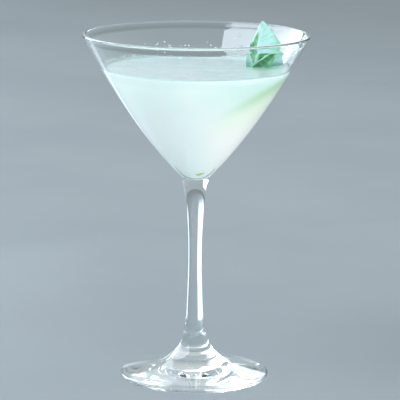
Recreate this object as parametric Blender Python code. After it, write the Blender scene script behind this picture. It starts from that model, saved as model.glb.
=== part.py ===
"""A martini cocktail: a stemmed glass, a cloudy pale drink and three basil leaves standing in it.

Metres, +Z up. The origin is on the glass's axis, in the plane that the foot stands on.
+X is to the right of the drinker and +Y points away.
"""

import functools
import math

import bmesh
import bpy
from mathutils import Vector
from mathutils.geometry import interpolate_bezier

# The glass's driving sizes
GLASS_HEIGHT = 0.179
RIM_RADIUS = 0.058
FOOT_RADIUS = 0.0385
WALL = 0.00125
LIP_RADIUS = 0.00095

# The bowl: its wall bows out of the straight cone between the stem's head and the neck under the lip
HEAD_RADIUS = 0.0076
HEAD_HEIGHT = 0.1053
NECK_DROP = 0.0038
NECK_INSET = 0.0013
BOWL_BOW = 0.0028
BOW_LOW_SHARE = 0.6
INSIDE_BOTTOM = 0.1044
THICK_WALL_SHARE = 0.28
FLOOR_FLATNESS = 0.11
FLOOR_RISE = 0.55

# The stem: a waist between the bowl's head and the foot's flare. A lean is how far in and down, or
# out and down, the outline runs towards the next stretch before it bends
WAIST_RADIUS = 0.0037
WAIST_HEIGHT = 0.064
WAIST_STRAIGHT_ABOVE = 0.013
WAIST_STRAIGHT_BELOW = 0.013
HEAD_LEAN = (0.0028, 0.0068)
ANKLE_RADIUS = 0.00475
ANKLE_HEIGHT = 0.030
ANKLE_LEAN_ABOVE = (0.0003, 0.008)
ANKLE_LEAN_BELOW = (0.0002, 0.0145)

# The foot: a low cone with a round edge, standing on a flat ring round a shallow hollow
INSTEP_RADIUS = 0.0199
INSTEP_HEIGHT = 0.0063
INSTEP_LEAN = (0.0053, 0.0011)
EDGE_RADIUS = 0.0011
EDGE_TURN = (75, 20, -30)
RING_INNER_RADIUS = 0.031
RING_OUTER_RADIUS = 0.0368
FOOT_HOLLOW = 0.0016

# The drink
DRINK_LEVEL = 0.1612
WALL_GAP = 0.0003

# The leaves
LEAF_THICKNESS = 0.0005
LEAF_GAP = 0.0003
LEAF_TO_WALL = 0.0012
STALK_SHARE = 0.06
WIDEST_EARLY = 0.85
BLADE_FULLNESS = 0.8
TIP_MERGE = 5e-5

# How finely the outlines are cut
SEGMENTS = 60
SHARP_ANGLE = math.radians(40)
WALL_STEPS = 6
FLOOR_STEPS = 7
LIP_STEPS = 6
OUTER_STEPS = 9
MERGE_DISTANCE = 1e-6


def clear_scene():
    for obj in list(bpy.data.objects):
        bpy.data.objects.remove(obj, do_unlink=True)


def material(name, color, roughness, transmission=0.0):
    made = bpy.data.materials.new(name)
    made.use_nodes = True
    shader = made.node_tree.nodes["Principled BSDF"]
    shader.inputs["Base Color"].default_value = (*color, 1.0)
    shader.inputs["Roughness"].default_value = roughness
    shader.inputs["Metallic"].default_value = 0.0
    shader.inputs["Transmission Weight"].default_value = transmission
    return made


def link(name, mesh, surface):
    obj = bpy.data.objects.new(name, mesh)
    obj.data.materials.append(surface)
    bpy.context.scene.collection.objects.link(obj)
    return obj


def bezier(knot, handle, far_handle, far_knot, count):
    """Points of one cubic curve in the (radius, height) plane, without its first point."""
    ends = [Vector((*p, 0.0)) for p in (knot, handle, far_handle, far_knot)]
    return [p.to_2d() for p in interpolate_bezier(*ends, count + 1)][1:]


def outer_wall(t):
    """A point of the bowl's outer wall and its outward normal, from the head (t 0) to the neck (t 1)."""
    low = Vector((HEAD_RADIUS, HEAD_HEIGHT))
    high = Vector((RIM_RADIUS - NECK_INSET, GLASS_HEIGHT - NECK_DROP))
    chord = high - low
    outward = Vector((chord.y, -chord.x)).normalized()
    skew = 1 + BOW_LOW_SHARE * (0.5 - t)
    point = low + chord * t + outward * (4 * BOWL_BOW * t * (1 - t) * skew)
    along = chord + outward * (4 * BOWL_BOW * ((1 - 2 * t) * skew - BOW_LOW_SHARE * t * (1 - t)))
    return point, Vector((along.y, -along.x)).normalized()


def wall_thickness(t):
    """The wall thins upwards from the thick part over the stem's head."""
    rest = max(0.0, 1.0 - t) ** 3
    return WALL * (1.0 + rest)


@functools.cache
def inner_profile():
    """The bowl's inner surface, from its lowest point on the axis up to the neck."""
    wall = []
    for i in range(WALL_STEPS + 1):
        t = THICK_WALL_SHARE + (1 - THICK_WALL_SHARE) * i / WALL_STEPS
        point, normal = outer_wall(t)
        wall.append(point - normal * wall_thickness(t))
    start, slope = wall[0], (wall[1] - wall[0]).normalized()
    bottom = Vector((0.0, INSIDE_BOTTOM))
    reach = (start - bottom).length
    flat_end = bottom + Vector((FLOOR_FLATNESS * reach, 0.0))
    bowl_floor = bezier(bottom, flat_end, start - slope * (FLOOR_RISE * reach), start, FLOOR_STEPS)
    return [bottom, *bowl_floor, *wall[1:]]


def lip_profile():
    """The rolled lip, over its top from the inside to the outside."""
    centre = Vector((RIM_RADIUS - LIP_RADIUS, GLASS_HEIGHT - LIP_RADIUS))
    _, outward = outer_wall(1.0)
    first = math.atan2(-outward.y, -outward.x)
    points = []
    for i in range(LIP_STEPS + 1):
        angle = first - math.pi * i / LIP_STEPS
        points.append(centre + Vector((math.cos(angle), math.sin(angle))) * LIP_RADIUS)
    return points


def stem_profile():
    """The stem from under the bowl's head down to the ankle."""
    head = (HEAD_RADIUS, HEAD_HEIGHT)
    head_lean = (HEAD_RADIUS - HEAD_LEAN[0], HEAD_HEIGHT - HEAD_LEAN[1])
    waist = (WAIST_RADIUS, WAIST_HEIGHT)
    above = (WAIST_RADIUS, WAIST_HEIGHT + WAIST_STRAIGHT_ABOVE)
    below = (WAIST_RADIUS, WAIST_HEIGHT - WAIST_STRAIGHT_BELOW)
    ankle = (ANKLE_RADIUS, ANKLE_HEIGHT)
    ankle_lean = (ANKLE_RADIUS - ANKLE_LEAN_ABOVE[0], ANKLE_HEIGHT + ANKLE_LEAN_ABOVE[1])
    return bezier(head, head_lean, above, waist, 7) + bezier(waist, below, ankle_lean, ankle, 4)


def foot_profile():
    """The foot from the ankle's flare, over the edge, to the middle of the underside."""
    ankle = (ANKLE_RADIUS, ANKLE_HEIGHT)
    ankle_lean = (ANKLE_RADIUS + ANKLE_LEAN_BELOW[0], ANKLE_HEIGHT - ANKLE_LEAN_BELOW[1])
    instep = (INSTEP_RADIUS, INSTEP_HEIGHT)
    instep_lean = (INSTEP_RADIUS - INSTEP_LEAN[0], INSTEP_HEIGHT + INSTEP_LEAN[1])
    flare = bezier(ankle, ankle_lean, instep_lean, instep, 7)
    edge = []
    for degrees in EDGE_TURN:
        angle = math.radians(degrees)
        edge.append(Vector((
            FOOT_RADIUS - EDGE_RADIUS * (1 - math.cos(angle)),
            EDGE_RADIUS * (1 + math.sin(angle)),
        )))
    hollow = [
        Vector((RING_INNER_RADIUS * share, FOOT_HOLLOW * (1 - share * share)))
        for share in (0.6, 0.0)
    ]
    ring = [Vector((RING_OUTER_RADIUS, 0.0)), Vector((RING_INNER_RADIUS, 0.0))]
    return flare + edge + ring + hollow


def turned(name, profile, surface):
    """A solid of revolution about Z. The profile starts and ends on the axis."""
    shape = bmesh.new()
    corners = [shape.verts.new((p.x, 0.0, p.y)) for p in profile]
    edges = [shape.edges.new(pair) for pair in zip(corners, corners[1:])]
    bmesh.ops.spin(
        shape, geom=corners + edges, cent=(0, 0, 0), axis=(0, 0, 1),
        angle=2 * math.pi, steps=SEGMENTS, use_merge=True, use_normal_flip=False,
    )
    bmesh.ops.remove_doubles(shape, verts=shape.verts, dist=MERGE_DISTANCE)
    bmesh.ops.recalc_face_normals(shape, faces=shape.faces)
    bmesh.ops.triangulate(shape, faces=shape.faces, quad_method="SHORT_EDGE")
    mesh = bpy.data.meshes.new(name)
    shape.to_mesh(mesh)
    shape.free()
    obj = link(name, mesh, surface)
    mesh.shade_smooth()
    mesh.set_sharp_from_angle(angle=SHARP_ANGLE)
    return obj


def bowl_radius(height):
    """The radius of the bowl's inner surface at a height."""
    inner = inner_profile()
    for low, high in zip(inner, inner[1:]):
        if low.y <= height <= high.y:
            return low.x + (high.x - low.x) * (height - low.y) / (high.y - low.y)
    return inner[-1].x


def make_glass(surface):
    outer = [outer_wall(1 - i / OUTER_STEPS)[0] for i in range(OUTER_STEPS + 1)]
    profile = inner_profile() + lip_profile() + outer + stem_profile() + foot_profile()
    return turned("glass", profile, surface)


def make_drink(surface):
    """The drink fills the bowl, just clear of its wall, up to a flat top."""
    inner = inner_profile()
    profile = [inner[0] + Vector((0.0, WALL_GAP))]
    for before, point, after in zip(inner, inner[1:], inner[2:]):
        along = (after - before).normalized()
        profile.append(point + Vector((-along.y, along.x)) * WALL_GAP)
    below = [p for p in profile if p.y < DRINK_LEVEL - WALL_GAP]
    low, high = below[-1], profile[len(below)]
    share = (DRINK_LEVEL - low.y) / (high.y - low.y)
    top = low.lerp(high, share)
    rim = Vector((top.x, DRINK_LEVEL))
    return turned("drink", below + [rim, Vector((0.0, DRINK_LEVEL))], surface)


class Leaf:
    """One basil leaf: a midrib from base to tip, and a half blade on each side of it.

    across is the way that the right half leaves the midrib. Of the pairs, the first value is
    the left half's. fold lifts a half off the flat at the midrib, curl is the turn that it has
    made by its edge, both in degrees, and the ruffle waves the edges.
    """

    def __init__(self, name, base, bend, tip, across, half_widths, fold, curl, ruffle, rows, columns):
        self.name = name
        self.base, self.bend, self.tip = Vector(base), Vector(bend), Vector(tip)
        self.across = Vector(across)
        self.half_widths = half_widths
        self.fold = fold
        self.curl = curl
        self.ruffle_depth, self.ruffle_waves, self.ruffle_start = ruffle
        self.rows, self.columns = rows, columns

    def midrib(self, u):
        """A point of the midrib and the way it runs, with u from 0 at the base to 1 at the tip."""
        point = self.base * (1 - u) ** 2 + self.bend * (2 * u * (1 - u)) + self.tip * u**2
        along = (self.bend - self.base) * (1 - u) + (self.tip - self.bend) * u
        return point, along.normalized()

    def point(self, u, v, margin):
        """A point of the blade's middle surface, with v from -1 at the left edge to 1 at the right one."""
        centre, along = self.midrib(u)
        side = (self.across - along * self.across.dot(along)).normalized()
        normal = along.cross(side)
        half = int(v > 0)
        reach = abs(v) * (self.half_widths[half] * egg_shape(u) + margin)
        angle = math.radians(self.fold[half] + self.curl[half] * abs(v) / 2)
        wave = math.sin(2 * math.pi * self.ruffle_waves * u + self.ruffle_start * (1 + 1.3 * half))
        ruffle = self.ruffle_depth * wave * v * v * min(1.0, 4 * u) * egg_shape(u)
        out = side * math.copysign(math.cos(angle), v) + normal * math.sin(angle)
        up = normal * math.cos(angle) - side * math.copysign(math.sin(angle), v)
        return centre + out * reach + up * ruffle

    def sheet(self, name, margin):
        """The middle surface as a triangle mesh."""
        shape = bmesh.new()
        stretch = margin / (self.tip - self.base).length
        grid = []
        for row in range(self.rows + 1):
            u = row / self.rows * (1 + 2 * stretch) - stretch
            line = []
            for column in range(self.columns + 1):
                v = 2 * column / self.columns - 1
                line.append(shape.verts.new(kept_in_bowl(self.point(u, v, margin), margin)))
            grid.append(line)
        for low, high in zip(grid, grid[1:]):
            for i in range(self.columns):
                shape.faces.new((low[i], low[i + 1], high[i + 1]))
                shape.faces.new((low[i], high[i + 1], high[i]))
        bmesh.ops.remove_doubles(shape, verts=shape.verts, dist=TIP_MERGE)
        bmesh.ops.recalc_face_normals(shape, faces=shape.faces)
        mesh = bpy.data.meshes.new(name)
        shape.to_mesh(mesh)
        shape.free()
        return mesh

    def solid(self, surface):
        obj = link(self.name, self.sheet(self.name, 0.0), surface)
        thicken(obj, LEAF_THICKNESS)
        obj.data.shade_smooth()
        return obj

    def cutter(self, surface):
        """The leaf with its gap all round, which the drink is cut with."""
        name = self.name + "_cutter"
        obj = link(name, self.sheet(name, LEAF_GAP), surface)
        thicken(obj, LEAF_THICKNESS + 2 * LEAF_GAP)
        obj.hide_render = True
        obj.display_type = "WIRE"
        return obj


def egg_shape(u):
    """A leaf's half width along its midrib, as a share of the greatest: a stalk, then an egg with a tip."""
    u = min(max(u, 0.0), 1.0)
    blade = max(0.0, math.sin(math.pi * u**WIDEST_EARLY)) ** BLADE_FULLNESS
    return max(blade, STALK_SHARE * (1 - u))


def kept_in_bowl(place, margin):
    """The point, drawn in where the leaf leans on the glass."""
    limit = bowl_radius(place.z) - LEAF_TO_WALL + margin
    reach = math.hypot(place.x, place.y)
    if reach > limit:
        return Vector((place.x * limit / reach, place.y * limit / reach, place.z))
    return place


def thicken(obj, thickness):
    modifier = obj.modifiers.new("Thickness", "SOLIDIFY")
    modifier.thickness = thickness
    modifier.offset = 0.0
    modifier.use_even_offset = False


def basil_leaves():
    """A tall leaf near the wall, folded along its midrib, a low one before it and a small one beside it."""
    return (
        Leaf(
            "basil_leaf_tall",
            base=(0.0290, 0.0100, 0.1465), bend=(0.0298, 0.0128, 0.1665), tip=(0.0339, 0.0137, 0.1843),
            across=(1.0, 0.06, 0.0), half_widths=(0.0066, 0.0152),
            fold=(80.0, -4.0), curl=(-12.0, 14.0), ruffle=(0.0008, 2.6, 0.5),
            rows=18, columns=12,
        ),
        Leaf(
            "basil_leaf_folded",
            base=(0.0272, 0.0077, 0.1596), bend=(0.0338, 0.0073, 0.1660), tip=(0.0410, 0.0078, 0.1693),
            across=(0.50, -0.35, -0.80), half_widths=(0.0030, 0.0044),
            fold=(-48.0, -12.0), curl=(-10.0, 30.0), ruffle=(0.0004, 2.2, 1.1),
            rows=14, columns=10,
        ),
        Leaf(
            "basil_leaf_small",
            base=(0.0292, 0.0103, 0.1580), bend=(0.0256, 0.0098, 0.1630), tip=(0.0268, 0.0090, 0.1688),
            across=(1.0, 0.25, 0.0), half_widths=(0.0024, 0.0024),
            fold=(-25.0, -25.0), curl=(-20.0, -20.0), ruffle=(0.0002, 1.6, 0.6),
            rows=10, columns=8,
        ),
    )


def build():
    clear_scene()
    clear_glass = material("clear_glass", (0.93, 0.97, 0.96), 0.03, transmission=1.0)
    cloudy_drink = material("cloudy_drink", (0.76, 0.92, 0.87), 0.12)
    basil_green = material("basil_green", (0.14, 0.42, 0.22), 0.42)

    make_glass(clear_glass)
    drink = make_drink(cloudy_drink)
    for leaf in basil_leaves():
        leaf.solid(basil_green)
        cut = drink.modifiers.new("Room for " + leaf.name, "BOOLEAN")
        cut.operation = "DIFFERENCE"
        cut.object = leaf.cutter(basil_green)


build()
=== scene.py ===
"""A martini cocktail: a stemmed glass, a cloudy pale drink, and basil leaves standing in it.

Everything is in metres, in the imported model's own frame: +Z up, the origin on the glass's axis
in the plane that the foot stands on, +X to the right in the photograph and +Y away from it.
"""

import math

import bmesh
import bpy
from mathutils import Matrix, Vector, noise
from mathutils.geometry import interpolate_bezier


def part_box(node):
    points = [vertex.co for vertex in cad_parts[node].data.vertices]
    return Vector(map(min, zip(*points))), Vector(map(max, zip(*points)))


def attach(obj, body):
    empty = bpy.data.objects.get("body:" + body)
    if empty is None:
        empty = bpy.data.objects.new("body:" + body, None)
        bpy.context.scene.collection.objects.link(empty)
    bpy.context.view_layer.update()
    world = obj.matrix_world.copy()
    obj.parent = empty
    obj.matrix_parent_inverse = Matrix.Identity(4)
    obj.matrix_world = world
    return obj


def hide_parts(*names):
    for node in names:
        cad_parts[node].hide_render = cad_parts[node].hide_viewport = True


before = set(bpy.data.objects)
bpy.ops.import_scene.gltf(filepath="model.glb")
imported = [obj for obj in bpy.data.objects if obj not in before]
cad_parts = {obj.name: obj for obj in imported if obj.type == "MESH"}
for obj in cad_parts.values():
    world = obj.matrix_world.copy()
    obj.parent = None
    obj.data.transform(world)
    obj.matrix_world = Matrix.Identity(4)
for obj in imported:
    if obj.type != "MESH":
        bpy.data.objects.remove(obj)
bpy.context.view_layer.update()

GLASS_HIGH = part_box("glass")[1]
DRINK_LOW, DRINK_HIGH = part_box("drink")

# The glass, read from the frame where the frame holds it
GLASS_HEIGHT = GLASS_HIGH.z
RIM_RADIUS = GLASS_HIGH.x
FOOT_RADIUS = 0.0385
WALL = 0.00125
LIP_RADIUS = 0.00095
HEAD_RADIUS = 0.0076
HEAD_HEIGHT = 0.1053
NECK_DROP = 0.0038
NECK_INSET = 0.0013
BOWL_BOW = 0.0028
BOW_LOW_SHARE = 0.6
WALL_GAP = 0.0003
INSIDE_BOTTOM = DRINK_LOW.z - WALL_GAP
THICK_WALL_SHARE = 0.28
FLOOR_FLATNESS = 0.11
FLOOR_RISE = 0.55
WAIST_RADIUS = 0.0037
WAIST_HEIGHT = 0.064
WAIST_STRAIGHT_ABOVE = 0.013
WAIST_STRAIGHT_BELOW = 0.013
HEAD_LEAN = (0.0028, 0.0068)
ANKLE_RADIUS = 0.00475
ANKLE_HEIGHT = 0.030
ANKLE_LEAN_ABOVE = (0.0003, 0.008)
ANKLE_LEAN_BELOW = (0.0002, 0.0145)
INSTEP_RADIUS = 0.0199
INSTEP_HEIGHT = 0.0063
INSTEP_LEAN = (0.0053, 0.0011)
EDGE_RADIUS = 0.0011
RING_INNER_RADIUS = 0.031
RING_OUTER_RADIUS = 0.0368
FOOT_HOLLOW = 0.0016

# The drink: it wets the wall, so its skin lies just inside the glass, and it climbs the wall a little
DRINK_LEVEL = DRINK_HIGH.z
WETTING = 0.00012
MENISCUS_RISE = 0.0011
MENISCUS_REACH = 0.0030

# The leaves
LEAF_THICKNESS = 0.00035
LEAF_TO_WALL = 0.0009
STALK_SHARE = 0.06
WIDEST_EARLY = 0.85
BLADE_FULLNESS = 0.74

# How finely the turned pieces are cut
AROUND = 180
MERGE_DISTANCE = 2e-6

# The camera: fitted to the rim's and the foot's ellipses
CAMERA_DISTANCE = 1.165
CAMERA_HEIGHT = 0.323
CAMERA_ASIDE = 0.0024
CAMERA_DOWN = math.radians(11.18)
CAMERA_ROLL = math.radians(0.45)
CAMERA_LENS = 207.1

# What the low front lights shine on: the pieces, and not the floor
LIT_LOW = bpy.data.collections.new("lit from the front")


# Plain helpers

def piece(obj, slot, *nodes):
    """Says what a finished piece rides on and which solids it stands for. The slot is not used."""
    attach(obj, "root")
    LIT_LOW.objects.link(obj)
    if nodes:
        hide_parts(*nodes)
    return obj


def link(name, data, surface=None):
    """An object of its own for a mesh, a curve, a light or a camera."""
    obj = bpy.data.objects.new(name, data)
    if surface is not None:
        obj.data.materials.append(surface)
    bpy.context.scene.collection.objects.link(obj)
    return obj


def plain_mesh(obj, outward=True):
    """Turns what the modifiers make of an object into its plain mesh, closed and facing out."""
    depsgraph = bpy.context.evaluated_depsgraph_get()
    mesh = bpy.data.meshes.new_from_object(obj.evaluated_get(depsgraph), depsgraph=depsgraph)
    mesh.name = obj.name
    obj.modifiers.clear()
    obj.data = mesh
    shape = bmesh.new()
    shape.from_mesh(mesh)
    bmesh.ops.remove_doubles(shape, verts=shape.verts, dist=MERGE_DISTANCE)
    if outward:
        bmesh.ops.recalc_face_normals(shape, faces=shape.faces)
    shape.to_mesh(mesh)
    shape.free()
    mesh.shade_smooth()
    return obj


def smoothstep(low, high, x):
    """0 before low and 1 past high, eased between them. High may lie before low."""
    t = min(max((x - low) / (high - low), 0.0), 1.0)
    return t * t * (3 - 2 * t)


# Node helpers

class Tree:
    """Adds nodes to a shader or geometry tree, with values by input name or number."""

    def __init__(self, tree):
        self.tree = tree

    def add(self, kind, inputs=(), **settings):
        """A node, with its inputs fed and its own settings made."""
        node = self.tree.nodes.new(kind)
        for name, value in settings.items():
            setattr(node, name, value)
        for name, value in dict(inputs).items():
            self.feed(node.inputs[name], value)
        return node

    def feed(self, socket, value):
        """Links another node's output to a socket, or sets the socket's own value."""
        if isinstance(value, bpy.types.NodeSocket):
            self.tree.links.new(value, socket)
        elif value is not None:
            socket.default_value = value

    def math(self, operation, *values):
        """The outcome of one sum on values or outputs."""
        node = self.tree.nodes.new("ShaderNodeMath")
        node.operation = operation
        for socket, value in zip(node.inputs, values):
            self.feed(socket, value)
        return node.outputs[0]

    def times(self, first, *others):
        """The product of several values."""
        for other in others:
            first = self.math("MULTIPLY", first, other)
        return first

    def ramp(self, value, low, high, to_low=0.0, to_high=1.0):
        """The value, eased from one range to another."""
        node = self.add(
            "ShaderNodeMapRange",
            {"Value": value, "From Min": low, "From Max": high, "To Min": to_low, "To Max": to_high},
            interpolation_type="SMOOTHSTEP",
        )
        return node.outputs["Result"]

    def mix(self, share, low, high):
        """Two colours mixed by a share."""
        node = self.tree.nodes.new("ShaderNodeMix")
        node.data_type = "RGBA"
        self.feed(node.inputs[0], share)
        for socket, value in ((node.inputs[6], low), (node.inputs[7], high)):
            self.feed(socket, value)
        return node.outputs[2]

    def group(self, group, **inputs):
        """A node that holds a group, with its inputs by name."""
        node = self.tree.nodes.new("ShaderNodeGroup")
        node.node_tree = group
        for name, value in inputs.items():
            self.feed(node.inputs[name.replace("_", " ")], value)
        return node


def sockets(tree, inputs, outputs):
    """Names a group's or a geometry tree's inputs and outputs."""
    for name, kind, value in inputs:
        socket = tree.interface.new_socket(name, in_out="INPUT", socket_type=kind)
        if value is not None:
            socket.default_value = value
    for name, kind in outputs:
        tree.interface.new_socket(name, in_out="OUTPUT", socket_type=kind)


def rgb(red, green, blue):
    """A colour as a screen shows it, from 0 to 255, as the light values that shaders use."""
    shares = [value / 255 for value in (red, green, blue)]
    linear = [s / 12.92 if s <= 0.04045 else ((s + 0.055) / 1.055) ** 2.4 for s in shares]
    return (*linear, 1.0)


def new_surface(name):
    """A material, its tree and its one Principled shader."""
    made = bpy.data.materials.new(name)
    made.use_nodes = True
    return made, Tree(made.node_tree), made.node_tree.nodes["Principled BSDF"]


def bumped(t, shader, height, distance, strength):
    """Lets a height tilt the surface's shading a little."""
    bump = t.add("ShaderNodeBump", {"Height": height, "Distance": distance, "Strength": strength})
    t.feed(shader.inputs["Normal"], bump.outputs["Normal"])


def clear(shader, tint, bending):
    """Makes a shader's stuff clear: its tint, and the index by which it bends light."""
    shader.inputs["Base Color"].default_value = tint
    shader.inputs["Transmission Weight"].default_value = 1.0
    shader.inputs["IOR"].default_value = bending


# Shader groups

def mottle_group():
    """Soft blotches between two colours, with finer ones within them."""
    tree = bpy.data.node_groups.new("Soft mottle", "ShaderNodeTree")
    sockets(
        tree,
        (
            ("Vector", "NodeSocketVector", None),
            ("Scale", "NodeSocketFloat", 50.0),
            ("Low", "NodeSocketColor", (0, 0, 0, 1)),
            ("High", "NodeSocketColor", (1, 1, 1, 1)),
        ),
        (("Color", "NodeSocketColor"), ("Mask", "NodeSocketFloat")),
    )
    t = Tree(tree)
    given = t.add("NodeGroupInput")
    blotches = t.add(
        "ShaderNodeTexNoise",
        {"Vector": given.outputs["Vector"], "Scale": given.outputs["Scale"], "Detail": 5.0,
         "Roughness": 0.55},
    )
    mask = t.ramp(blotches.outputs["Fac"], 0.34, 0.66)
    out = t.add("NodeGroupOutput")
    t.feed(out.inputs["Color"], t.mix(mask, given.outputs["Low"], given.outputs["High"]))
    t.feed(out.inputs["Mask"], mask)
    return tree


def waviness_group():
    """A gentle unevenness: long waves with a little fine grain on them."""
    tree = bpy.data.node_groups.new("Waviness", "ShaderNodeTree")
    sockets(
        tree,
        (
            ("Vector", "NodeSocketVector", None),
            ("Scale", "NodeSocketFloat", 30.0),
            ("Grain", "NodeSocketFloat", 0.1),
        ),
        (("Height", "NodeSocketFloat"),),
    )
    t = Tree(tree)
    given = t.add("NodeGroupInput")
    long = t.add(
        "ShaderNodeTexNoise",
        {"Vector": given.outputs["Vector"], "Scale": given.outputs["Scale"], "Detail": 1.0},
    )
    finer = t.times(given.outputs["Scale"], 14.0)
    fine = t.add(
        "ShaderNodeTexNoise", {"Vector": given.outputs["Vector"], "Scale": finer, "Detail": 2.0}
    )
    grain = t.times(fine.outputs["Fac"], given.outputs["Grain"])
    out = t.add("NodeGroupOutput")
    t.feed(out.inputs["Height"], t.math("ADD", long.outputs["Fac"], grain))
    return tree


MOTTLE = mottle_group()
WAVINESS = waviness_group()


# Surfaces

GLASS_TINT = (0.955, 0.985, 0.98, 1.0)
GLASS_BENDING = 1.5
WATER_TINT = (0.93, 0.97, 1.0, 1.0)
WATER_BENDING = 1.333
DRINK_BENDING = 1.34


def clear_glass():
    """Clear pressed-and-drawn glass: faintly wavy, with a thin dried film that dulls it in places."""
    made, t, shader = new_surface("clear glass")
    place = t.add("ShaderNodeTexCoord").outputs["Object"]
    clear(shader, GLASS_TINT, GLASS_BENDING)
    film = t.group(MOTTLE, Vector=place, Scale=70.0)
    t.feed(shader.inputs["Roughness"], t.ramp(film.outputs["Mask"], 0.55, 1.0, 0.0, 0.035))
    waves = t.group(WAVINESS, Vector=place, Scale=28.0, Grain=0.01)
    bumped(t, shader, waves.outputs["Height"], 0.0003, 0.35)
    return made


# The drink's colours, and where they change
CLOUDS = rgb(227, 242, 240), rgb(235, 246, 243)
LOW_LEFT = rgb(238, 255, 255)
LOW_RIGHT_LIT = rgb(247, 255, 247)
UPPER_RIGHT = rgb(212, 234, 228)
BRIM = rgb(206, 228, 224)
SLICE_GREEN = rgb(178, 216, 178)
SLICE_CREAM = rgb(240, 249, 231)
SLICE_EDGE_HEIGHT = 0.138
SLICE_EDGE_SLOPE = 0.5
SKIN = rgb(221, 240, 237), rgb(242, 252, 249)
SKIN_FAR = rgb(188, 206, 209)
SKIN_CLIMBING_SHADE = rgb(199, 223, 221)
LEAF_REFLECTION_GREEN = rgb(178, 226, 204)
FLECKS = rgb(138, 160, 164)
LEAVES_STAND = (0.0341, 0.0060)
CONTOUR_SHADE = rgb(104, 122, 128)
LINE_HEIGHT = 0.1056
LINE_BEND = 75.0
DRINK_GLOW = 0.85


def drink_body(t, x, y, z, clouds):
    """The drink's colour through the wall. Its cloudiness changes it here and there. Painted light makes it
    lighter low down at the right, where light comes through, and it is darker high up at the right. A green
    slice shows at the right, under a sloping edge.
    """
    low_left = t.times(t.ramp(x, 0.012, -0.030), t.ramp(z, 0.156, 0.122))
    colour = t.mix(low_left, clouds, LOW_LEFT)
    # painted light: the drink is painted lighter low down at the right
    low_right = t.times(t.ramp(x, -0.004, 0.022), t.ramp(z, 0.148, 0.126))
    colour = t.mix(low_right, colour, LOW_RIGHT_LIT)
    upper_right = t.times(t.ramp(x, -0.006, 0.032), t.ramp(z, 0.140, 0.156))
    colour = t.mix(upper_right, colour, UPPER_RIGHT)

    below = t.math("SUBTRACT", t.math("MULTIPLY_ADD", x, SLICE_EDGE_SLOPE, SLICE_EDGE_HEIGHT), z)
    frontward = t.ramp(y, 0.038, 0.008)
    edge = t.times(t.ramp(below, -0.0025, 0.0030), t.ramp(below, 0.0170, 0.0015))
    colour = t.mix(t.times(edge, t.ramp(x, 0.004, 0.044), frontward), colour, SLICE_GREEN)
    under = t.times(t.ramp(below, 0.001, 0.009), t.ramp(below, 0.022, 0.010))
    colour = t.mix(t.times(under, t.ramp(x, 0.0, 0.026), frontward, 0.65), colour, SLICE_CREAM)

    brim = t.ramp(z, DRINK_LEVEL - 0.0060, DRINK_LEVEL - 0.0008)
    return t.mix(t.times(brim, 0.5), colour, BRIM)


def drink_skin(t, place, y, z):
    """The colour of the drink's level top: drifts of froth, with dark flecks strewn on its far side."""
    flecks = t.add("ShaderNodeTexNoise", {"Vector": place, "Scale": 620.0, "Detail": 3.0})
    fleck = t.ramp(flecks.outputs["Fac"], 0.57, 0.68)
    drifts = t.group(MOTTLE, Vector=place, Scale=110.0).outputs["Mask"]
    far = t.ramp(y, -0.010, 0.046)
    strewn = t.math("MULTIPLY_ADD", far, 0.45, t.times(drifts, 0.55))
    skin = t.mix(t.times(far, 0.35), t.mix(drifts, *SKIN), SKIN_FAR)
    skin = t.mix(t.times(fleck, strewn, 0.8), skin, FLECKS)
    # painted shade: the thin edge that climbs the wall is painted darker than the top
    return t.mix(t.ramp(z, DRINK_LEVEL, DRINK_LEVEL + 0.0004), skin, SKIN_CLIMBING_SHADE)


def cloudy_drink():
    """A cloudy, pale mint-white drink. Its top is painted greener round the leaves as a painted reflection of
    them, and a painted dark line of shade runs round its bottom where the bowl's inner bottom shows through.
    """
    made, t, shader = new_surface("cloudy drink")
    place = t.add("ShaderNodeTexCoord").outputs["Object"]
    x, y, z = t.add("ShaderNodeSeparateXYZ", {"Vector": place}).outputs
    clouds = t.group(MOTTLE, Vector=place, Scale=26.0, Low=CLOUDS[0], High=CLOUDS[1])
    body = drink_body(t, x, y, z, clouds.outputs["Color"])
    top = t.ramp(z, DRINK_LEVEL - 0.0002, DRINK_LEVEL - 0.00005)
    colour = t.mix(top, body, drink_skin(t, place, y, z))

    # painted reflection: the top is painted greener round where the leaves stand, as if it mirrored them
    aside, back = (t.math("SUBTRACT", way, middle) for way, middle in zip((x, y), LEAVES_STAND))
    off = t.math("SQRT", t.math("ADD", t.times(aside, aside), t.times(back, back)))
    colour = t.mix(t.times(t.ramp(off, 0.0150, 0.0030), top, 0.75), colour, LEAF_REFLECTION_GREEN)

    # painted shade: a dark line on the near side where the bowl's inner bottom shows through the drink
    arc = t.math("MULTIPLY_ADD", t.times(x, x), LINE_BEND, LINE_HEIGHT)
    line = t.ramp(t.math("ABSOLUTE", t.math("SUBTRACT", z, arc)), 0.00032, 0.00008)
    line = t.times(line, t.ramp(z, 0.1130, 0.1112), t.ramp(y, 0.0, -0.0012), 0.8)
    t.feed(shader.inputs["Base Color"], t.mix(line, colour, CONTOUR_SHADE))

    # no glow in the thin edge that climbs the wall, which light would shine straight through
    glow = t.ramp(z, DRINK_LEVEL + 0.0003, DRINK_LEVEL + 0.00002, 0.0, DRINK_GLOW)
    t.feed(shader.inputs["Subsurface Weight"], glow)
    shader.inputs["Subsurface Radius"].default_value = (1.0, 1.15, 1.1)
    shader.inputs["Subsurface Scale"].default_value = 0.006
    shader.inputs["IOR"].default_value = DRINK_BENDING
    t.feed(shader.inputs["Roughness"], t.ramp(clouds.outputs["Mask"], 0.0, 1.0, 0.03, 0.07))
    ripples = t.group(WAVINESS, Vector=place, Scale=60.0, Grain=0.03)
    bumped(t, shader, ripples.outputs["Height"], 0.0004, 0.3)
    return made


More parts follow.
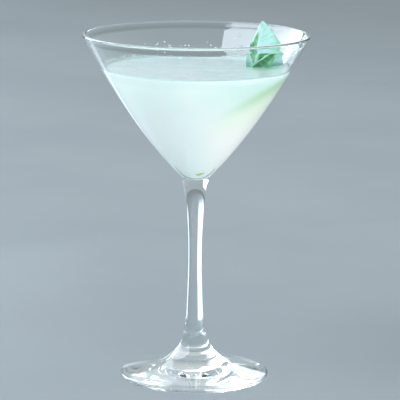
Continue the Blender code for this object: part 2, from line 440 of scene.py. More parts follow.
def basil_leaf(name, painted_sheen, fresh, painted_shade, vein):
    """A wet basil leaf: painted light and shade, carried by the mesh, runs from the painted shade of the folds
    to the painted sheen of the pale lit blade.
    """
    made, t, shader = new_surface(name)
    place = t.add("ShaderNodeTexCoord").outputs["Object"]
    tone = t.add("ShaderNodeAttribute", attribute_name="tone").outputs["Fac"]
    ribs = t.add("ShaderNodeAttribute", attribute_name="ribs").outputs["Fac"]
    blotch = t.group(MOTTLE, Vector=place, Scale=340.0)
    varied = t.math("MULTIPLY_ADD", blotch.outputs["Mask"], 0.22, t.math("SUBTRACT", tone, 0.11))
    # painted shade at the dark end and painted sheen at the pale end, with the leaf's own fresh green between
    low = t.mix(t.ramp(varied, 0.0, 0.5), painted_shade, fresh)
    colour = t.mix(t.ramp(varied, 0.45, 0.95), low, painted_sheen)
    colour = t.mix(t.times(ribs, 0.75), colour, vein)
    t.feed(shader.inputs["Base Color"], colour)
    shader.inputs["Subsurface Weight"].default_value = 0.35
    shader.inputs["Subsurface Radius"].default_value = (0.5, 1.0, 0.6)
    shader.inputs["Subsurface Scale"].default_value = 0.0012
    t.feed(shader.inputs["Roughness"], t.ramp(blotch.outputs["Mask"], 0.0, 1.0, 0.28, 0.46))
    cells = t.group(WAVINESS, Vector=place, Scale=420.0, Grain=0.35)
    bumped(t, shader, cells.outputs["Height"], 0.0004, 0.8)
    return made


def blotched(name, scale, low, high, smooth, rough):
    """A plain surface in soft blotches between two colours, and as uneven in its gloss."""
    made, t, shader = new_surface(name)
    place = t.add("ShaderNodeTexCoord").outputs["Object"]
    blotch = t.group(MOTTLE, Vector=place, Scale=scale, Low=low, High=high)
    t.feed(shader.inputs["Base Color"], blotch.outputs["Color"])
    t.feed(shader.inputs["Roughness"], t.ramp(blotch.outputs["Mask"], 0.0, 1.0, smooth, rough))
    return made


def water():
    """Clear water, for the drops left on the glass."""
    made, t, shader = new_surface("water")
    place = t.add("ShaderNodeTexCoord").outputs["Object"]
    clear(shader, WATER_TINT, WATER_BENDING)
    waves = t.group(WAVINESS, Vector=place, Scale=600.0, Grain=0.05)
    t.feed(shader.inputs["Roughness"], t.ramp(waves.outputs["Height"], 0.4, 0.8, 0.0, 0.03))
    return made


# Turned outlines, as (radius, height) points

def bezier(knot, handle, far_handle, far_knot, count):
    """Points of one cubic curve, without its first point."""
    ends = [Vector((*p, 0.0)) for p in (knot, handle, far_handle, far_knot)]
    return [p.to_2d() for p in interpolate_bezier(*ends, count + 1)][1:]


def outer_wall(t):
    """A point of the bowl's outer wall and its outward normal, from the head (t 0) to the neck (t 1)."""
    low = Vector((HEAD_RADIUS, HEAD_HEIGHT))
    high = Vector((RIM_RADIUS - NECK_INSET, GLASS_HEIGHT - NECK_DROP))
    chord = high - low
    outward = Vector((chord.y, -chord.x)).normalized()
    skew = 1 + BOW_LOW_SHARE * (0.5 - t)
    point = low + chord * t + outward * (4 * BOWL_BOW * t * (1 - t) * skew)
    along = chord + outward * (4 * BOWL_BOW * ((1 - 2 * t) * skew - BOW_LOW_SHARE * t * (1 - t)))
    return point, Vector((along.y, -along.x)).normalized()


def inner_profile():
    """The bowl's inner surface, from its lowest point on the axis up to the neck."""
    wall = []
    steps = 40
    for i in range(steps + 1):
        t = THICK_WALL_SHARE + (1 - THICK_WALL_SHARE) * i / steps
        point, normal = outer_wall(t)
        wall.append(point - normal * (WALL * (1.0 + (1.0 - t) ** 3)))
    start, slope = wall[0], (wall[1] - wall[0]).normalized()
    bottom = Vector((0.0, INSIDE_BOTTOM))
    reach = (start - bottom).length
    flat_end = bottom + Vector((FLOOR_FLATNESS * reach, 0.0))
    bowl_floor = bezier(bottom, flat_end, start - slope * (FLOOR_RISE * reach), start, 30)
    return [bottom, *bowl_floor, *wall[1:]]


def lip_profile():
    """The rolled lip, over its top from the inside to the outside."""
    centre = Vector((RIM_RADIUS - LIP_RADIUS, GLASS_HEIGHT - LIP_RADIUS))
    _, outward = outer_wall(1.0)
    first = math.atan2(-outward.y, -outward.x)
    steps = 18
    points = []
    for i in range(steps + 1):
        angle = first - math.pi * i / steps
        points.append(centre + Vector((math.cos(angle), math.sin(angle))) * LIP_RADIUS)
    return points


def stem_profile():
    """The stem from under the bowl's head down to the ankle."""
    head = (HEAD_RADIUS, HEAD_HEIGHT)
    head_lean = (HEAD_RADIUS - HEAD_LEAN[0], HEAD_HEIGHT - HEAD_LEAN[1])
    waist = (WAIST_RADIUS, WAIST_HEIGHT)
    above = (WAIST_RADIUS, WAIST_HEIGHT + WAIST_STRAIGHT_ABOVE)
    below = (WAIST_RADIUS, WAIST_HEIGHT - WAIST_STRAIGHT_BELOW)
    ankle = (ANKLE_RADIUS, ANKLE_HEIGHT)
    ankle_lean = (ANKLE_RADIUS - ANKLE_LEAN_ABOVE[0], ANKLE_HEIGHT + ANKLE_LEAN_ABOVE[1])
    return bezier(head, head_lean, above, waist, 30) + bezier(waist, below, ankle_lean, ankle, 20)


def foot_profile():
    """The foot from the ankle's flare, over the edge, to the middle of the underside."""
    ankle = (ANKLE_RADIUS, ANKLE_HEIGHT)
    ankle_lean = (ANKLE_RADIUS + ANKLE_LEAN_BELOW[0], ANKLE_HEIGHT - ANKLE_LEAN_BELOW[1])
    instep = (INSTEP_RADIUS, INSTEP_HEIGHT)
    instep_lean = (INSTEP_RADIUS - INSTEP_LEAN[0], INSTEP_HEIGHT + INSTEP_LEAN[1])
    points = bezier(ankle, ankle_lean, instep_lean, instep, 30)
    for degrees in range(75, -61, -15):
        angle = math.radians(degrees)
        points.append(Vector((
            FOOT_RADIUS - EDGE_RADIUS * (1 - math.cos(angle)),
            EDGE_RADIUS * (1 + math.sin(angle)),
        )))
    points.append(Vector((RING_OUTER_RADIUS, 0.0)))
    steps = 24
    for i in range(steps + 1):
        share = 1 - i / steps
        points.append(Vector((RING_INNER_RADIUS * share, FOOT_HOLLOW * (1 - share * share))))
    return points


def glass_profile():
    """The whole glass, from the bottom of the bowl's inside to the middle of the foot's underside."""
    steps = 60
    outer = [outer_wall(1 - i / steps)[0] for i in range(steps + 1)]
    return inner_profile() + lip_profile() + outer + stem_profile() + foot_profile()


def wall_radius(height, profile=tuple(inner_profile())):
    """The radius of the bowl's inner surface at a height."""
    for low, high in zip(profile, profile[1:]):
        if low.y <= height <= high.y:
            return low.x + (high.x - low.x) * (height - low.y) / (high.y - low.y)
    return profile[-1].x


def drink_profile():
    """The drink's skin from its lowest point, up the wall, over the meniscus and in along the level top."""
    inner = inner_profile()
    points = [inner[0] - Vector((0.0, WETTING))]
    for before, point, after in zip(inner, inner[1:], inner[2:]):
        along = (after - before).normalized()
        skin = point + Vector((along.y, -along.x)) * WETTING
        if skin.y > DRINK_LEVEL + MENISCUS_RISE * 0.5:
            break
        points.append(skin)
    crest = DRINK_LEVEL + MENISCUS_RISE
    points.append(Vector((wall_radius(crest) + WETTING, crest)))
    edge = wall_radius(DRINK_LEVEL)
    steps = 14
    for i in range(1, steps + 1):
        share = i / steps
        radius = edge + (crest - DRINK_LEVEL) * 0.6 - (MENISCUS_REACH + (crest - DRINK_LEVEL) * 0.6) * share
        points.append(Vector((radius, DRINK_LEVEL + MENISCUS_RISE * (1 - share) ** 3)))
    last = points[-1].x
    for i in range(1, steps + 1):
        points.append(Vector((last * (1 - i / steps), DRINK_LEVEL)))
    return points


# Geometry trees

def turning_tree():
    """Turns an outline about Z: a grid is wrapped round the axis, one row for each point of the outline."""
    tree = bpy.data.node_groups.new("Turned outline", "GeometryNodeTree")
    sockets(
        tree,
        (
            ("Geometry", "NodeSocketGeometry", None),
            ("Outline", "NodeSocketObject", None),
            ("Around", "NodeSocketInt", 64),
            ("Start", "NodeSocketFloat", 0.0),
            ("Sweep", "NodeSocketFloat", math.tau),
            ("Surface", "NodeSocketMaterial", None),
        ),
        (("Geometry", "NodeSocketGeometry"),),
    )
    t = Tree(tree)
    given = t.add("NodeGroupInput").outputs
    outline = t.add("GeometryNodeObjectInfo", {"Object": given["Outline"]}).outputs["Geometry"]
    rows = t.add(
        "GeometryNodeAttributeDomainSize", {"Geometry": outline}, component="CURVE"
    ).outputs["Point Count"]
    grid = t.add(
        "GeometryNodeMeshGrid",
        {"Size X": 1.0, "Size Y": 1.0, "Vertices X": t.math("ADD", given["Around"], 1),
         "Vertices Y": rows},
    )
    spot = t.add("ShaderNodeSeparateXYZ", {"Vector": t.add("GeometryNodeInputPosition").outputs[0]})
    along = t.math("ADD", spot.outputs["Y"], 0.5)
    row = t.math("ROUND", t.math("MULTIPLY", along, t.math("SUBTRACT", rows, 1)))
    turn = t.math("ADD", spot.outputs["X"], 0.5)
    angle = t.math("MULTIPLY_ADD", turn, given["Sweep"], given["Start"])
    sample = t.add(
        "GeometryNodeSampleIndex",
        {"Geometry": outline, "Value": t.add("GeometryNodeInputPosition").outputs[0], "Index": row},
        data_type="FLOAT_VECTOR",
    )
    point = t.add("ShaderNodeSeparateXYZ", {"Vector": sample.outputs["Value"]})
    place = t.add(
        "ShaderNodeCombineXYZ",
        {
            "X": t.math("MULTIPLY", point.outputs["X"], t.math("COSINE", angle)),
            "Y": t.math("MULTIPLY", point.outputs["X"], t.math("SINE", angle)),
            "Z": point.outputs["Z"],
        },
    )
    wrapped = t.add(
        "GeometryNodeSetPosition", {"Geometry": grid.outputs["Mesh"], "Position": place.outputs[0]}
    )
    closed = t.add(
        "GeometryNodeMergeByDistance",
        {"Geometry": wrapped.outputs["Geometry"], "Distance": MERGE_DISTANCE},
    )
    real = t.add("GeometryNodeRealizeInstances", {"Geometry": closed.outputs["Geometry"]})
    done = t.add(
        "GeometryNodeSetMaterial",
        {"Geometry": real.outputs["Geometry"], "Material": given["Surface"]},
    )
    t.feed(t.add("NodeGroupOutput").inputs["Geometry"], done.outputs["Geometry"])
    return tree


def scatter_tree():
    """Scatters small uneven blobs over a surface, each pressed flat against it."""
    tree = bpy.data.node_groups.new("Scattered scraps", "GeometryNodeTree")
    sockets(
        tree,
        (
            ("Geometry", "NodeSocketGeometry", None),
            ("Density", "NodeSocketFloat", 1000.0),
            ("Smallest", "NodeSocketFloat", 0.0002),
            ("Largest", "NodeSocketFloat", 0.0006),
            ("Flatness", "NodeSocketFloat", 0.5),
            ("Length", "NodeSocketFloat", 1.6),
            ("Seed", "NodeSocketInt", 1),
            ("Surface", "NodeSocketMaterial", None),
        ),
        (("Geometry", "NodeSocketGeometry"),),
    )
    t = Tree(tree)
    given = t.add("NodeGroupInput").outputs
    points = t.add(
        "GeometryNodeDistributePointsOnFaces",
        {"Mesh": given["Geometry"], "Density": given["Density"], "Seed": given["Seed"]},
        distribute_method="RANDOM",
    )
    blob = t.add("GeometryNodeMeshIcoSphere", {"Radius": 0.5, "Subdivisions": 2})
    lumps = t.add("ShaderNodeTexNoise", {"Scale": 2.2, "Detail": 1.0})
    swell = t.add(
        "ShaderNodeVectorMath",
        {0: t.add("GeometryNodeInputNormal").outputs[0],
         "Scale": t.math("MULTIPLY_ADD", lumps.outputs["Fac"], 0.5, -0.25)},
        operation="SCALE",
    )
    lumpy = t.add(
        "GeometryNodeSetPosition",
        {"Geometry": blob.outputs["Mesh"], "Offset": swell.outputs["Vector"]},
    )
    size = t.add(
        "FunctionNodeRandomValue",
        {2: given["Smallest"], 3: given["Largest"], "Seed": given["Seed"]}, data_type="FLOAT",
    ).outputs[1]
    stretch = t.add(
        "FunctionNodeRandomValue", {2: 0.8, 3: given["Length"], "Seed": 7}, data_type="FLOAT"
    ).outputs[1]
    scale = t.add(
        "ShaderNodeCombineXYZ",
        {"X": t.math("MULTIPLY", size, stretch), "Y": size,
         "Z": t.math("MULTIPLY", size, given["Flatness"])},
    )
    spin = t.add(
        "FunctionNodeRandomValue", {2: 0.0, 3: math.tau, "Seed": 11}, data_type="FLOAT"
    ).outputs[1]
    turned = t.add(
        "FunctionNodeRotateRotation",
        {"Rotation": points.outputs["Rotation"],
         "Rotate By": t.add("FunctionNodeAxisAngleToRotation",
                            {"Axis": (0.0, 0.0, 1.0), "Angle": spin}).outputs[0]},
        rotation_space="LOCAL",
    )
    laid = t.add(
        "GeometryNodeInstanceOnPoints",
        {"Points": points.outputs["Points"], "Instance": lumpy.outputs["Geometry"],
         "Rotation": turned.outputs[0], "Scale": scale.outputs[0]},
    )
    real = t.add("GeometryNodeRealizeInstances", {"Geometry": laid.outputs["Instances"]})
    done = t.add(
        "GeometryNodeSetMaterial",
        {"Geometry": real.outputs["Geometry"], "Material": given["Surface"]},
    )
    t.feed(t.add("NodeGroupOutput").inputs["Geometry"], done.outputs["Geometry"])
    return tree


TURNING = turning_tree()
SCATTER = scatter_tree()


def run_tree(obj, tree, **inputs):
    """Puts a geometry tree on an object, with its named inputs set by their sockets' identifiers."""
    modifier = obj.modifiers.new(tree.name, "NODES")
    modifier.node_group = tree
    named = {s.name: s.identifier for s in tree.interface.items_tree if s.in_out == "INPUT"}
    for name, value in inputs.items():
        modifier[named[name]] = value
    return obj


def outline_curve(name, points):
    """An outline in the XZ plane, as a curve that a tree can sample."""
    data = bpy.data.curves.new(name, "CURVE")
    data.dimensions = "3D"
    spline = data.splines.new("POLY")
    spline.points.add(len(points) - 1)
    for slot, p in zip(spline.points, points):
        slot.co = (p.x, 0.0, p.y, 1.0)
    return link(name, data)


def turned(name, points, surface, start=0.0, sweep=math.tau, around=AROUND):
    """A turned piece as a plain mesh."""
    outline = outline_curve(name + "_outline", points)
    obj = link(name, bpy.data.meshes.new(name))
    run_tree(
        obj, TURNING, Outline=outline, Around=around, Start=start, Sweep=sweep, Surface=surface,
    )
    plain_mesh(obj, outward=sweep >= math.tau)
    bpy.data.objects.remove(outline, do_unlink=True)
    return obj


# Leaves

class Leaf:
    """One basil leaf: a midrib from base to tip, and a half blade on each side of it.

    across is the way that the right half leaves the midrib. Of the pairs, the first value is
    the left half's. fold lifts a half off the flat at the midrib, curl is the turn that it has
    made by its edge, both in degrees, and the ruffle waves the edges. u runs from 0 at the base
    to 1 at the tip, and v from -1 at the left edge to 1 at the right one.
    """

    SCALLOP = 0.035
    SMALL_WAVES = 2.7
    SMALL_WAVE_SHARE = 0.35
    VEIN_SWEEP = 0.20
    VEIN_WIDTH = 0.07
    GROOVE_DEPTH = 0.7
    GROOVE_WIDTH = 0.05

    def __init__(self, name, base, bend, tip, across, half_widths, fold, curl, ruffle, veins, crinkle, tone):
        self.name = name
        self.base, self.bend, self.tip = Vector(base), Vector(bend), Vector(tip)
        self.across = Vector(across)
        self.half_widths = half_widths
        self.fold = fold
        self.curl = curl
        self.ruffle_depth, self.ruffle_waves, self.ruffle_start = ruffle
        self.veins = veins
        self.crinkle = crinkle
        self.tone = tone

    def midrib(self, u):
        """A point of the midrib, and the way that the midrib runs there."""
        point = self.base * (1 - u) ** 2 + self.bend * (2 * u * (1 - u)) + self.tip * u**2
        along = (self.bend - self.base) * (1 - u) + (self.tip - self.bend) * u
        return point, along.normalized()

    def vein_phase(self, u, v):
        """How far a point is between two side veins, which sweep from the midrib towards the tip."""
        return self.veins * (u - self.VEIN_SWEEP * abs(v) + 0.05 * v * v)

    def point(self, u, v):
        """A point of the blade's middle surface."""
        centre, along = self.midrib(u)
        side = (self.across - along * self.across.dot(along)).normalized()
        normal = along.cross(side)
        half = int(v > 0)
        scallop = 1 + self.SCALLOP * math.sin(2 * math.pi * self.veins * u + 0.6) * abs(v) ** 3
        reach = abs(v) * self.half_widths[half] * egg_shape(u) * scallop
        angle = math.radians(self.fold[half] + self.curl[half] * abs(v) / 2)
        wave = math.sin(2 * math.pi * self.ruffle_waves * u + self.ruffle_start * (1 + 1.3 * half))
        small_wave = math.sin(
            2 * math.pi * (self.SMALL_WAVES * self.ruffle_waves * u + 0.21 * half) + 1.0
        )
        waves = wave + self.SMALL_WAVE_SHARE * small_wave
        ruffle = self.ruffle_depth * waves * v * v * min(1.0, 4 * u) * egg_shape(u)
        pillow = abs(math.sin(math.pi * self.vein_phase(u, v))) ** 0.7
        pillow *= smoothstep(0.0, 0.12, abs(v)) * (1 - 0.6 * abs(v) ** 4) * egg_shape(u)
        groove = -self.GROOVE_DEPTH * math.exp(-((v / self.GROOVE_WIDTH) ** 2))
        out = side * math.copysign(math.cos(angle), v) + normal * math.sin(angle)
        up = normal * math.cos(angle) - side * math.copysign(math.sin(angle), v)
        return centre + out * reach + up * (ruffle - self.crinkle * (pillow + groove))

    def from_vein(self, u, v):
        """How far the nearest side vein is, as a share of the way to the next one."""
        phase = self.vein_phase(u, v)
        return abs(phase - round(phase))

    def ribs(self, u, v):
        """How much of a point is vein: the midrib and the side veins."""
        middle = math.exp(-((v / (0.035 + 0.02 * (1 - u))) ** 2))
        side = math.exp(-((self.from_vein(u, v) / self.VEIN_WIDTH) ** 2)) * (1 - 0.7 * abs(v))
        return max(middle, 0.55 * side)

    def shade(self, u, v):
        """Painted shade: the darker green on both sides of each side vein, in the dips between the puckers."""
        beside = math.exp(-(((self.from_vein(u, v) - 0.16) / 0.08) ** 2))
        return 0.15 * beside * smoothstep(0.02, 0.2, abs(v))

    def piece(self, surface, rows=84, columns=56):
        """The leaf as a finished closed mesh, with its painted light and shade and its ribs carried as
        attributes.
        """
        shape = bmesh.new()
        tone = shape.verts.layers.float.new("tone")
        ribs = shape.verts.layers.float.new("ribs")
        unwrap = shape.loops.layers.uv.new("leaf")
        grid = []
        for row in range(rows + 1):
            u = row / rows
            line = []
            for column in range(columns + 1):
                v = 2 * column / columns - 1
                corner = shape.verts.new(kept_in_bowl(self.point(u, v)))
                corner[tone] = self.tone(u, v) - self.shade(u, v)
                corner[ribs] = self.ribs(u, v)
                line.append(corner)
            grid.append(line)
        for row, (low, high) in enumerate(zip(grid, grid[1:])):
            for i in range(columns):
                face = shape.faces.new((low[i], low[i + 1], high[i + 1], high[i]))
                for loop, (across, along) in zip(face.loops, ((0, 0), (1, 0), (1, 1), (0, 1))):
                    loop[unwrap].uv = ((row + along) / rows, (i + across) / columns)
        bmesh.ops.remove_doubles(shape, verts=shape.verts, dist=1e-5)
        bmesh.ops.recalc_face_normals(shape, faces=shape.faces)
        mesh = bpy.data.meshes.new(self.name + "_blade")
        shape.to_mesh(mesh)
        shape.free()
        obj = link(self.name + "_blade", mesh, surface)
        solid = obj.modifiers.new("Thickness", "SOLIDIFY")
        solid.thickness = LEAF_THICKNESS
        solid.offset = 0.0
        return plain_mesh(obj)


def egg_shape(u):
    """A leaf's half width along its midrib, as a share of the greatest: a stalk, then an egg with a tip."""
    blade = max(0.0, math.sin(math.pi * u**WIDEST_EARLY)) ** BLADE_FULLNESS
    return max(blade, STALK_SHARE * (1 - u))


def kept_in_bowl(place):
    """The point, drawn in where the leaf leans on the glass."""
    limit = wall_radius(min(place.z, GLASS_HEIGHT)) - LEAF_TO_WALL
    reach = math.hypot(place.x, place.y)
    if reach > limit and place.z < GLASS_HEIGHT:
        return Vector((place.x * limit / reach, place.y * limit / reach, place.z))
    return place


def tall_light_and_shade(u, v):
    """Painted light and shade: pale where the broad half is lit, painted shade in the fold beside the midrib
    and low down on both sides of it.
    """
    strip = smoothstep(-0.03, -0.14, v) * smoothstep(-0.96, -0.72, v) * smoothstep(0.92, 0.78, u)
    low_left = smoothstep(0.69, 0.62, u) * smoothstep(-0.03, -0.14, v)
    low_right = smoothstep(0.67, 0.61, u) * smoothstep(0.03, 0.09, v) * smoothstep(0.52, 0.34, v)
    return 0.93 - 0.78 * max(strip, low_left, low_right) - 0.12 * abs(v)


def folded_light_and_shade(u, v):
    """Painted shade beside the midrib on the half that faces out, and painted light, yellower and paler,
    towards its edge.
    """
    painted_shade = smoothstep(0.03, 0.10, v) * smoothstep(0.72, 0.40, v)
    return 0.66 - 0.60 * painted_shade + 0.35 * smoothstep(0.0, -0.4, v)


def small_light_and_shade(u, v):
    """Painted sheen, pale all over, and a little darker towards its base."""
    return 0.92 - 0.2 * smoothstep(0.4, 0.0, u)


def basil_leaves():
    """The three leaves that stand out of the drink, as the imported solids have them, with their finer form."""
    return (
        Leaf(
            "basil_leaf_tall",
            base=(0.0290, 0.0100, 0.1465), bend=(0.0304, 0.0128, 0.1665), tip=(0.0339, 0.0137, 0.1842),
            across=(1.0, 0.06, 0.0), half_widths=(0.0066, 0.0147),
            fold=(68.0, -4.0), curl=(-12.0, 14.0), ruffle=(0.0008, 2.6, 0.5),
            veins=7, crinkle=0.00045, tone=tall_light_and_shade,
        ),
        Leaf(
            "basil_leaf_folded",
            base=(0.0272, 0.0077, 0.1596), bend=(0.0338, 0.0073, 0.1660), tip=(0.0410, 0.0078, 0.1693),
            across=(0.50, -0.35, -0.80), half_widths=(0.0014, 0.0054),
            fold=(-70.0, -12.0), curl=(-10.0, 30.0), ruffle=(0.0004, 2.2, 1.1),
            veins=6, crinkle=0.00022, tone=folded_light_and_shade,
        ),
        Leaf(
            "basil_leaf_small",
            base=(0.0292, 0.0103, 0.1580), bend=(0.0256, 0.0098, 0.1630), tip=(0.0268, 0.0090, 0.1688),
            across=(1.0, 0.25, 0.0), half_widths=(0.0024, 0.0024),
            fold=(-25.0, -25.0), curl=(-20.0, -20.0), ruffle=(0.0002, 1.6, 0.6),
            veins=5, crinkle=0.00014, tone=small_light_and_shade,
        ),
    )


# Small things

LUMPINESS = 0.22
LUMPS_ACROSS = 1.7


def wall_band(name, low, high, first, last):
    """A stretch of the bowl's inner wall between two heights and two angles in degrees, to scatter on."""
    steps = 6
    points = []
    for i in range(steps + 1):
        height = low + (high - low) * i / steps
        points.append(Vector((wall_radius(height), height)))
    start, sweep = math.radians(first), math.radians(last - first)
    return turned(name, points, None, start=start, sweep=sweep, around=60)


def scraps(name, heights, angles, surface, slot, **inputs):
    """Scatters scraps on a band of the wall, and keeps only the scraps."""
    band = wall_band(name, *heights, *angles)
    run_tree(band, SCATTER, Surface=surface, **inputs)
    plain_mesh(band)
    band.name = name
    return piece(band, slot)


def make_glass():
    """The glass, in one piece."""
    obj = turned("glass_turned", glass_profile(), clear_glass())
    obj.visible_shadow = False      # light reaches the drink and the floor through it
    obj.visible_diffuse = False
    return piece(obj, "clear_glass", "glass")


def make_drink():
    """The drink, one solid that fills the bowl to its level."""
    obj = turned("drink_filled", drink_profile(), cloudy_drink())
    return piece(obj, "cloudy_drink", "drink")


def make_leaves():
    """The leaves, each in its own greens, with painted sheen and painted shade."""
    # the pale colours are painted sheen of the sky on the wet blades, the darkest greens painted shade, and the
    # middle greens the leaves' own
    painted_sheen, vein = rgb(176, 212, 215), rgb(204, 234, 222)
    surfaces = {
        "basil_leaf_tall": basil_leaf("tall leaf", painted_sheen, rgb(104, 190, 134), rgb(34, 112, 58), vein),
        "basil_leaf_folded": basil_leaf(
            "folded leaf", rgb(170, 222, 184), rgb(64, 150, 92), rgb(22, 108, 60), vein
        ),
        "basil_leaf_small": basil_leaf(
            "small leaf", rgb(190, 226, 221), rgb(130, 190, 165), rgb(84, 160, 112), vein
        ),
    }
    for leaf in basil_leaves():
        piece(leaf.piece(surfaces[leaf.name]), "basil_leaf", leaf.name)


def lump(name, place, size, turn, surface, slot):
    """A lumpy flattened scrap, its size its three half axes and its turn about Y in degrees."""
    shape = bmesh.new()
    bmesh.ops.create_icosphere(shape, subdivisions=4, radius=1.0)
    for corner in shape.verts:
        swell = 1 + LUMPINESS * noise.noise(corner.co * LUMPS_ACROSS + Vector(place) * 900)
        corner.co = Vector(a * b * swell for a, b in zip(corner.co, size))
    turned_by = Matrix.Rotation(math.radians(turn), 4, "Y")
    bmesh.ops.transform(shape, matrix=Matrix.Translation(place) @ turned_by, verts=shape.verts)
    mesh = bpy.data.meshes.new(name)
    shape.to_mesh(mesh)
    shape.free()
    mesh.shade_smooth()
    return piece(link(name, mesh, surface), slot)


def make_small_things():
    """What has sunk in the drink, and what clings to the wall above it."""
    froth = blotched("pulp", 900.0, rgb(216, 238, 232), rgb(247, 252, 248), 0.12, 0.3)
    green = blotched("sunk scrap", 800.0, rgb(146, 176, 116), rgb(180, 204, 150), 0.35, 0.55)
    for made in (
        ("sunk_green_scrap", (0.0022, -0.0072, 0.1091), (0.0020, 0.0006, 0.0010), -24, green, "basil_leaf"),
        ("sunk_pulp_left", (-0.0034, -0.0084, 0.1104), (0.0009, 0.0004, 0.0005), 30, froth, "cloudy_drink"),
        ("sunk_pulp_right", (0.0043, -0.0085, 0.1107), (0.0006, 0.0004, 0.0004), -30, froth, "cloudy_drink"),
        ("froth_bubble", (-0.0078, 0.0436, 0.1617), (0.0013, 0.0011, 0.0008), 0, froth, "cloudy_drink"),
    ):
        lump(*made)
    scraps(
        "drops", (0.1660, 0.1735), (48, 72), water(), "clear_glass",
        Density=4.0e4, Smallest=0.0006, Largest=0.0013, Flatness=0.5, Length=1.5, Seed=2,
    )
    scraps(
        "froth_line", (DRINK_LEVEL + 0.0004, DRINK_LEVEL + 0.0022), (112, 168), froth, "cloudy_drink",
        Density=1.6e6, Smallest=0.00025, Largest=0.0008, Flatness=0.5, Length=2.2, Seed=3,
    )
    scraps(
        "pulp_bits", (DRINK_LEVEL + 0.0030, DRINK_LEVEL + 0.0075), (70, 128), froth, "cloudy_drink",
        Density=3.6e4, Smallest=0.0004, Largest=0.0009, Flatness=0.4, Length=2.0, Seed=5,
    )


# Camera, lights and floor

def make_camera():
    """The camera, at the photograph's view."""
    data = bpy.data.cameras.new("camera")
    data.lens = CAMERA_LENS
    data.sensor_width = 36.0
    data.clip_start = 0.05
    data.clip_end = 60.0
    camera = link("camera", data)
    camera.location = (CAMERA_ASIDE, -CAMERA_DISTANCE, CAMERA_HEIGHT)
    down = Matrix.Rotation(math.pi / 2 - CAMERA_DOWN, 3, "X")
    camera.rotation_euler = (down @ Matrix.Rotation(CAMERA_ROLL, 3, "Z")).to_euler()
    bpy.context.scene.camera = camera


HORIZON = (0.36, 0.42, 0.45, 1.0)
OVERHEAD = (0.60, 0.64, 0.66, 1.0)
FLOOR_COLOURS = rgb(138, 145, 149), rgb(145, 152, 155)
FLOOR_GLOSS = 0.6
FLOOR_RADIUS = 9.0
FLOOR_DROP = 0.0003
DAYLIGHT = (0.85, 0.95, 1.05)
SOFT_WHITE = (1.0, 1.0, 0.98)
CARD_COLOUR = (0.84, 0.96, 1.06, 1.0)
CARD_EDGE = 0.20
RIM_MIDDLE = 0.17
FOOT_MIDDLE = 0.0
BOUNCES = 32
GLOSSY_BOUNCES = 12


def studio_world():
    """A pale studio: bright overhead, darker and bluer round the horizon."""
    world = bpy.data.worlds.new("studio")
    world.use_nodes = True
    t = Tree(world.node_tree)
    way = t.add("ShaderNodeTexCoord").outputs["Generated"]
    height = t.add("ShaderNodeSeparateXYZ", {"Vector": way}).outputs["Z"]
    t.feed(
        world.node_tree.nodes["Background"].inputs["Color"],
        t.mix(t.ramp(height, 0.0, 0.55), HORIZON, OVERHEAD),
    )
    return world


def turned_to(obj, place, height, along=None):
    """Stands an object at a place, its -Z at a height on the glass's axis and its X as level as it can be."""
    away = (Vector(place) - Vector((0.0, 0.0, height))).normalized()
    right = Vector(along) if along else Vector((0.0, 0.0, 1.0)).cross(away)
    right = (right - away * right.dot(away)).normalized()
    obj.location = place
    obj.rotation_euler = Matrix((right, away.cross(right), away)).transposed().to_euler()
    obj.visible_camera = False
    return obj


def lamp(name, place, height, size, radiance, color, along=None):
    """A rectangular soft light, as bright as its radiance whatever its size."""
    data = bpy.data.lights.new(name, "AREA")
    data.shape = "RECTANGLE"
    data.size, data.size_y = size
    data.energy = radiance * math.pi * size[0] * size[1]
    data.color = color
    return turned_to(link(name, data), place, height, along)


def front_lamp(*settings):
    """A lamp that lights the pieces from in front and leaves no reflection in them."""
    obj = lamp(*settings)
    obj.visible_glossy = obj.visible_transmission = False
    obj.light_linking.receiver_collection = LIT_LOW
    obj.light_linking.blocker_collection = LIT_LOW


def card_surface(radiance):
    """A glow that fades towards the card's edges."""
    made = bpy.data.materials.new("card glow")
    made.use_nodes = True
    t = Tree(made.node_tree)
    made.node_tree.nodes.remove(made.node_tree.nodes["Principled BSDF"])
    spot = t.add("ShaderNodeSeparateXYZ", {"Vector": t.add("ShaderNodeTexCoord").outputs["Generated"]})
    inset = [
        t.ramp(t.math("ABSOLUTE", t.math("SUBTRACT", spot.outputs[axis], 0.5)), 0.5, 0.5 - CARD_EDGE)
        for axis in ("X", "Y")
    ]
    glow = t.times(*inset, radiance)
    emission = t.add("ShaderNodeEmission", {"Color": CARD_COLOUR, "Strength": glow})
    see_through = t.add("ShaderNodeBsdfTransparent")
    both = t.add("ShaderNodeAddShader", {0: see_through.outputs[0], 1: emission.outputs[0]})
    t.feed(made.node_tree.nodes["Material Output"].inputs["Surface"], both.outputs[0])
    return made


def card(name, place, height, size, radiance, in_skins=True, through=True):
    """A soft-edged glowing card that shows only in the glass's skins or through it, and lights nothing."""
    mesh = bpy.data.meshes.new(name)
    corners = [(x * size[0] / 2, y * size[1] / 2, 0.0) for x, y in ((-1, -1), (1, -1), (1, 1), (-1, 1))]
    mesh.from_pydata(corners, [], [(0, 1, 2, 3)])
    obj = turned_to(link(name, mesh, card_surface(radiance)), place, height)
    obj.visible_diffuse = obj.visible_shadow = False
    obj.visible_glossy = in_skins
    obj.visible_transmission = through
    return obj


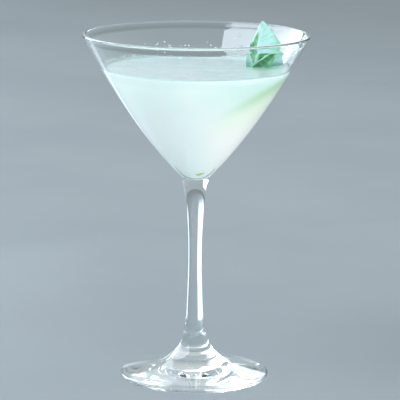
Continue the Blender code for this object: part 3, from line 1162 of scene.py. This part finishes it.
def make_stage():
    """The lamps, the cards that draw the glass's bright edges, and the floor."""
    scene = bpy.context.scene
    scene.view_settings.view_transform = "Standard"
    scene.cycles.use_denoising = True
    scene.cycles.max_bounces = BOUNCES
    scene.cycles.transmission_bounces = BOUNCES
    scene.cycles.glossy_bounces = GLOSSY_BOUNCES
    scene.world = studio_world()
    lamp(
        "key", (-1.40, 0.26, 1.17), 0.14, (3.5, 0.80), 5.2, DAYLIGHT, (-0.332, 3.19, -1.371),
    )
    front_lamp("front", (-0.80, -1.38, 0.10), 0.13, (2.8, 0.48), 4.75, SOFT_WHITE)
    front_lamp("low_right", (1.10, -0.48, 0.00), 0.12, (0.8, 0.30), 15.0, SOFT_WHITE)
    card("stem_card", (-0.090, 0.132, 0.0425), 0.0425, (0.140, 0.085), 1.5, in_skins=False)
    card("low_stem_card", (-0.048, 0.065, 0.017), 0.017, (0.075, 0.034), 1.5, in_skins=False)
    card("right_sliver", (0.115, 0.105, 0.0425), 0.0425, (0.045, 0.085), 1.4, in_skins=False)
    card("low_right_sliver", (0.060, 0.055, 0.017), 0.017, (0.024, 0.034), 1.4, in_skins=False)
    card("left_wall_card", (-0.16, 0.30, 0.036), 0.036, (0.24, 0.050), 0.9, through=False)
    card("foot_card", (0.29, 1.60, 0.70), FOOT_MIDDLE, (0.44, 0.50), 3.4, through=False)
    card("rim_card", (-0.75, 1.30, 1.20), RIM_MIDDLE, (1.3, 0.9), 3.0)
    card("sky_card", (0.25, 1.35, 1.75), RIM_MIDDLE, (2.4, 0.8), 1.2)
    card("wall_card", (-1.38, 1.65, 0.60), RIM_MIDDLE, (1.1, 0.9), 6.0)

    bpy.ops.mesh.primitive_circle_add(
        vertices=96, radius=FLOOR_RADIUS, fill_type="NGON", location=(0, 0, -FLOOR_DROP)
    )
    floor = bpy.context.object
    floor.name = "studio_floor"
    floor.data.materials.append(blotched("studio floor", 3.0, *FLOOR_COLOURS, FLOOR_GLOSS, FLOOR_GLOSS))


make_camera()
make_stage()
make_glass()
make_drink()
make_leaves()
make_small_things()
